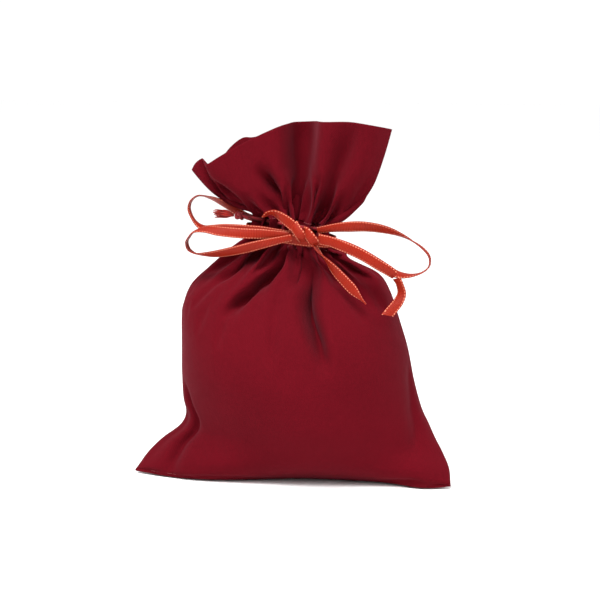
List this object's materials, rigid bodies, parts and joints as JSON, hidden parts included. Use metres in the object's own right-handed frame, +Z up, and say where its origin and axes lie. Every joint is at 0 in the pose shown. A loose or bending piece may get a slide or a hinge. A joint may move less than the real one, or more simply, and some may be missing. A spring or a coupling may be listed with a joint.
{
  "type": "fabric gift sack",
  "caption": "Small filled cotton gift sack with a gathered casing, flared collar, knotted drawstring and a satin ribbon bow with loops and tails.",
  "frame": {"origin": "on the face that the sack stands on, straight below its neck", "axes": "+Z up, the front with the bow faces -Y, +X to the right as seen from the front"},
  "size_m": [0.122, 0.067, 0.1373],
  "materials": {
    "red_cotton": "fine plain weave, matt with a soft pink sheen at the edges",
    "red_thread": "twisted sewing thread",
    "red_cord": "soft twisted cord, frayed at its ends",
    "orange_ribbon": "ribbed satin with stitched edges"
  },
  "bodies": {
    "sack": {"front_panel": "red_cotton", "back_panel": "red_cotton", "side_seam_thread_left": "red_thread", "side_seam_thread_right": "red_thread", "bottom_seam_thread": "red_thread", "casing_front": "red_cotton", "casing_back": "red_cotton", "casing_thread_upper": "red_thread", "casing_thread_lower": "red_thread", "drawstring_cord": "red_cord", "ribbon_wrap": "orange_ribbon", "ribbon_knot": "orange_ribbon", "ribbon_fold": "orange_ribbon"},
    "collar": {"collar_front": "red_cotton", "collar_back": "red_cotton"},
    "drawstring_ends": {"drawstring_end_front": "red_cord", "drawstring_end_back": "red_cord", "drawstring_knot": "red_cord"},
    "tassel": {"drawstring_tassel": "red_cord"},
    "loop_left": {"ribbon_loop_left": "orange_ribbon"},
    "loop_right": {"ribbon_loop_right": "orange_ribbon"},
    "slack_loop": {"ribbon_slack_loop": "orange_ribbon"},
    "tail_front": {"ribbon_tail_front": "orange_ribbon"},
    "tail_side": {"ribbon_tail_side": "orange_ribbon"},
    "tail_side_tip": {"ribbon_tail_side_tip": "orange_ribbon"}
  },
  "joints": [
    {"name": "collar_flop", "type": "hinge", "parent": "sack", "child": "collar", "pos_m": [-0.00104, 0, 0.10083], "axis": [0.9903, 0, -0.1392], "range_deg": [-25, 25], "stiffness_Nm_per_rad": 0.006},
    {"name": "drawstring_pull", "type": "slide", "parent": "sack", "child": "drawstring_ends", "axis": [-0.9903, 0, 0.1392], "range_m": [0, 0.004]},
    {"name": "tassel_flop", "type": "hinge", "parent": "drawstring_ends", "child": "tassel", "pos_m": [-0.02427, 0, 0.09975], "axis": [0, 1, 0], "range_deg": [-35, 5], "stiffness_Nm_per_rad": 0.0004},
    {"name": "bow_loop_left_lift", "type": "hinge", "parent": "sack", "child": "loop_left", "pos_m": [0.0022, -0.0132, 0.0936], "axis": [0, 1, 0], "range_deg": [-8, 12], "stiffness_Nm_per_rad": 0.0015},
    {"name": "bow_loop_right_lift", "type": "hinge", "parent": "sack", "child": "loop_right", "pos_m": [0.011, -0.0133, 0.0948], "axis": [0, -1, 0], "range_deg": [-15, 20], "stiffness_Nm_per_rad": 0.0015},
    {"name": "slack_loop_swing", "type": "hinge", "parent": "sack", "child": "slack_loop", "pos_m": [-0.0168, 0.0064, 0.0976], "axis": [-0.6839, 0.7164, 0.1384], "range_deg": [-5, 3], "stiffness_Nm_per_rad": 0.0015},
    {"name": "tail_front_swing", "type": "hinge", "parent": "sack", "child": "tail_front", "pos_m": [0.0102, -0.0156, 0.0925], "axis": [-1, 0, 0], "range_deg": [0, 40]},
    {"name": "tail_side_swing", "type": "hinge", "parent": "sack", "child": "tail_side", "pos_m": [0.0112, -0.0156, 0.0932], "axis": [0, -1, 0], "range_deg": [-5, 20], "stiffness_Nm_per_rad": 0.0015},
    {"name": "tail_side_tip_swing", "type": "hinge", "parent": "tail_side", "child": "tail_side_tip", "pos_m": [0.04155, -0.01845, 0.08015], "axis": [0, -1, 0], "range_deg": [-10, 30], "stiffness_Nm_per_rad": 0.0004}
  ]
}
